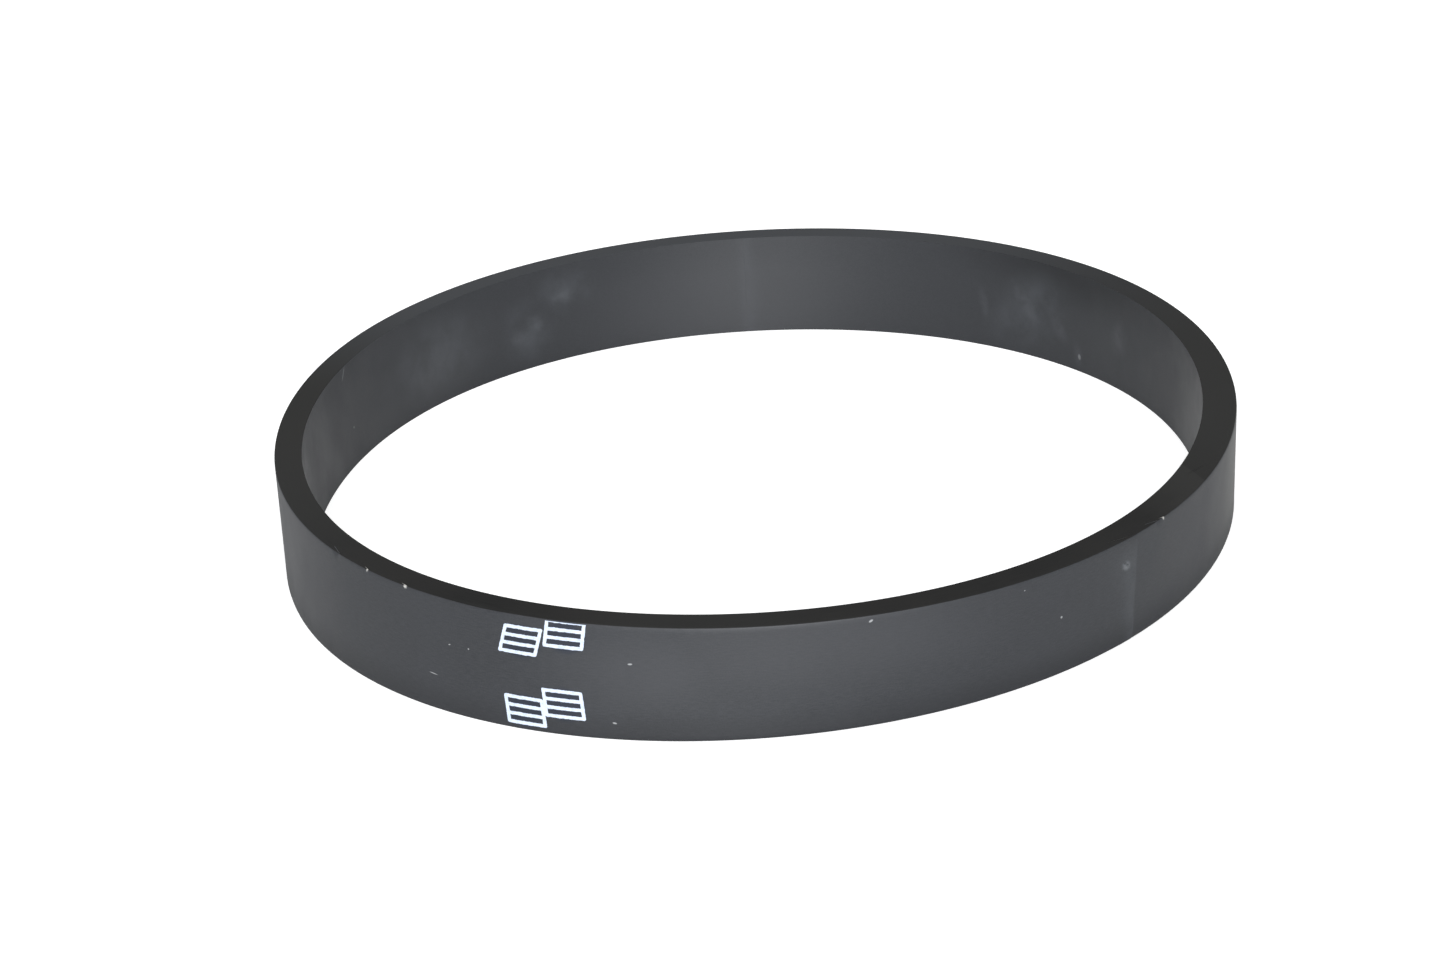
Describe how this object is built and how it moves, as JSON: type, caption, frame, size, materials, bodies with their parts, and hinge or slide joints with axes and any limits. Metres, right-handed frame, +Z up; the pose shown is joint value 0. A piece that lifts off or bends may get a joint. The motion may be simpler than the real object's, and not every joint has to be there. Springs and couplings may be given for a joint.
{
  "type": "flat rubber drive belt",
  "caption": "Endless flat rubber drive belt: a plain ring of wrapped rubber plies with square-cut edges and printed marks, standing on one edge.",
  "frame": {"origin": "centre of the bounding box of the belt, at the level of its bottom cut edge", "axes": "+Z up along the belt's width, from the edge it stands on to the edge on show; +X across the oval's shorter side and +Y along its longer side; the printed marks face -Y"},
  "size_m": [0.1118, 0.1238, 0.0127],
  "materials": {
    "outer_ply": "ground matt",
    "middle_ply": "cut matt",
    "inner_ply": "mandrel-smooth satin",
    "print_ink": "dry ink film"
  },
  "bodies": {
    "root": {"outer_ply": "outer_ply", "middle_ply": "middle_ply", "inner_ply": "inner_ply", "print_mark_upper_left": "print_ink", "print_mark_upper_right": "print_ink", "print_mark_lower_left": "print_ink", "print_mark_lower_right": "print_ink"}
  },
  "joints": []
}
